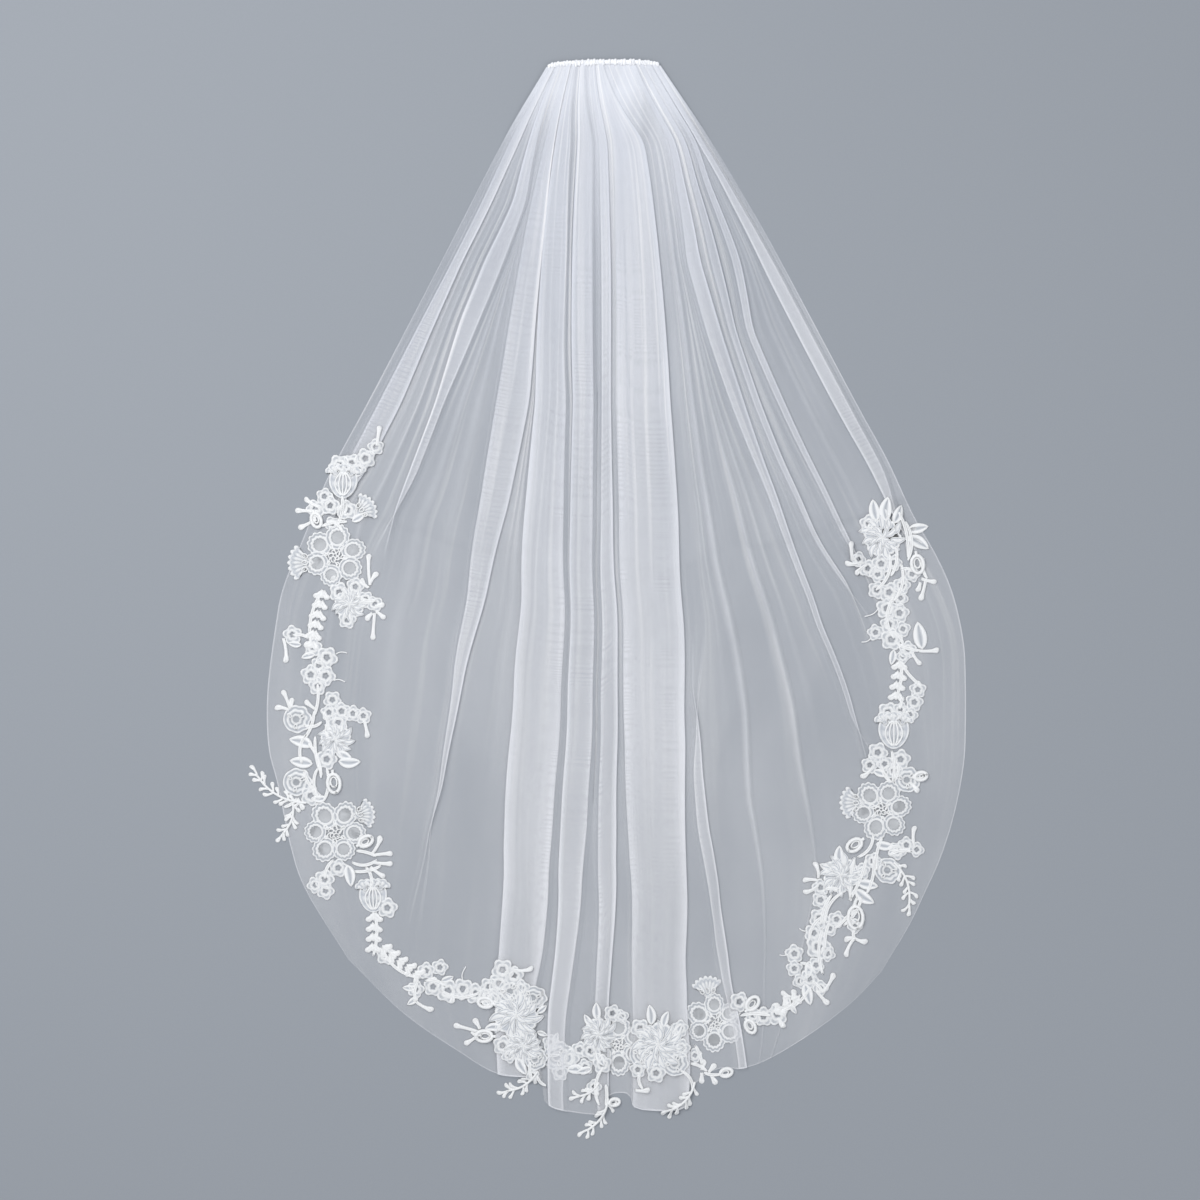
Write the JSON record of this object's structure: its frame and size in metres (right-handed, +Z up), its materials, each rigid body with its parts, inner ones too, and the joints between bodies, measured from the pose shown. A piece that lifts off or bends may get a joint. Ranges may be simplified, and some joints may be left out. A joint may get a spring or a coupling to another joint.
{
  "type": "bridal veil",
  "caption": "One-tier bridal veil of soft white tulle with a corded floral lace edging and a gathered comb heading, laid flat with its folds on a surface.",
  "frame": {"origin": "middle of the veil's footprint, on the surface it lies on", "axes": "+Y from the hem to the gathered heading, +X to the right as it is seen from above, +Z up out of the surface"},
  "size_m": [0.6288, 0.9452, 0.0072],
  "materials": {
    "tulle": "sheer fine hexagonal net with a faint sheen, denser where it lies in layers",
    "lace": "matt corded floral lace with raised outlines",
    "clear_plastic": "clear moulded comb"
  },
  "bodies": {
    "root": {"tulle_panel": "tulle", "heading_gathers": "tulle", "comb": "clear_plastic", "lace_left": "lace", "lace_fold_a": "lace", "lace_fold_b": "lace", "lace_fold_c": "lace", "lace_between_folds": "lace", "lace_fold_d": "lace", "lace_right_flower": "lace", "lace_right": "lace"}
  },
  "joints": []
}
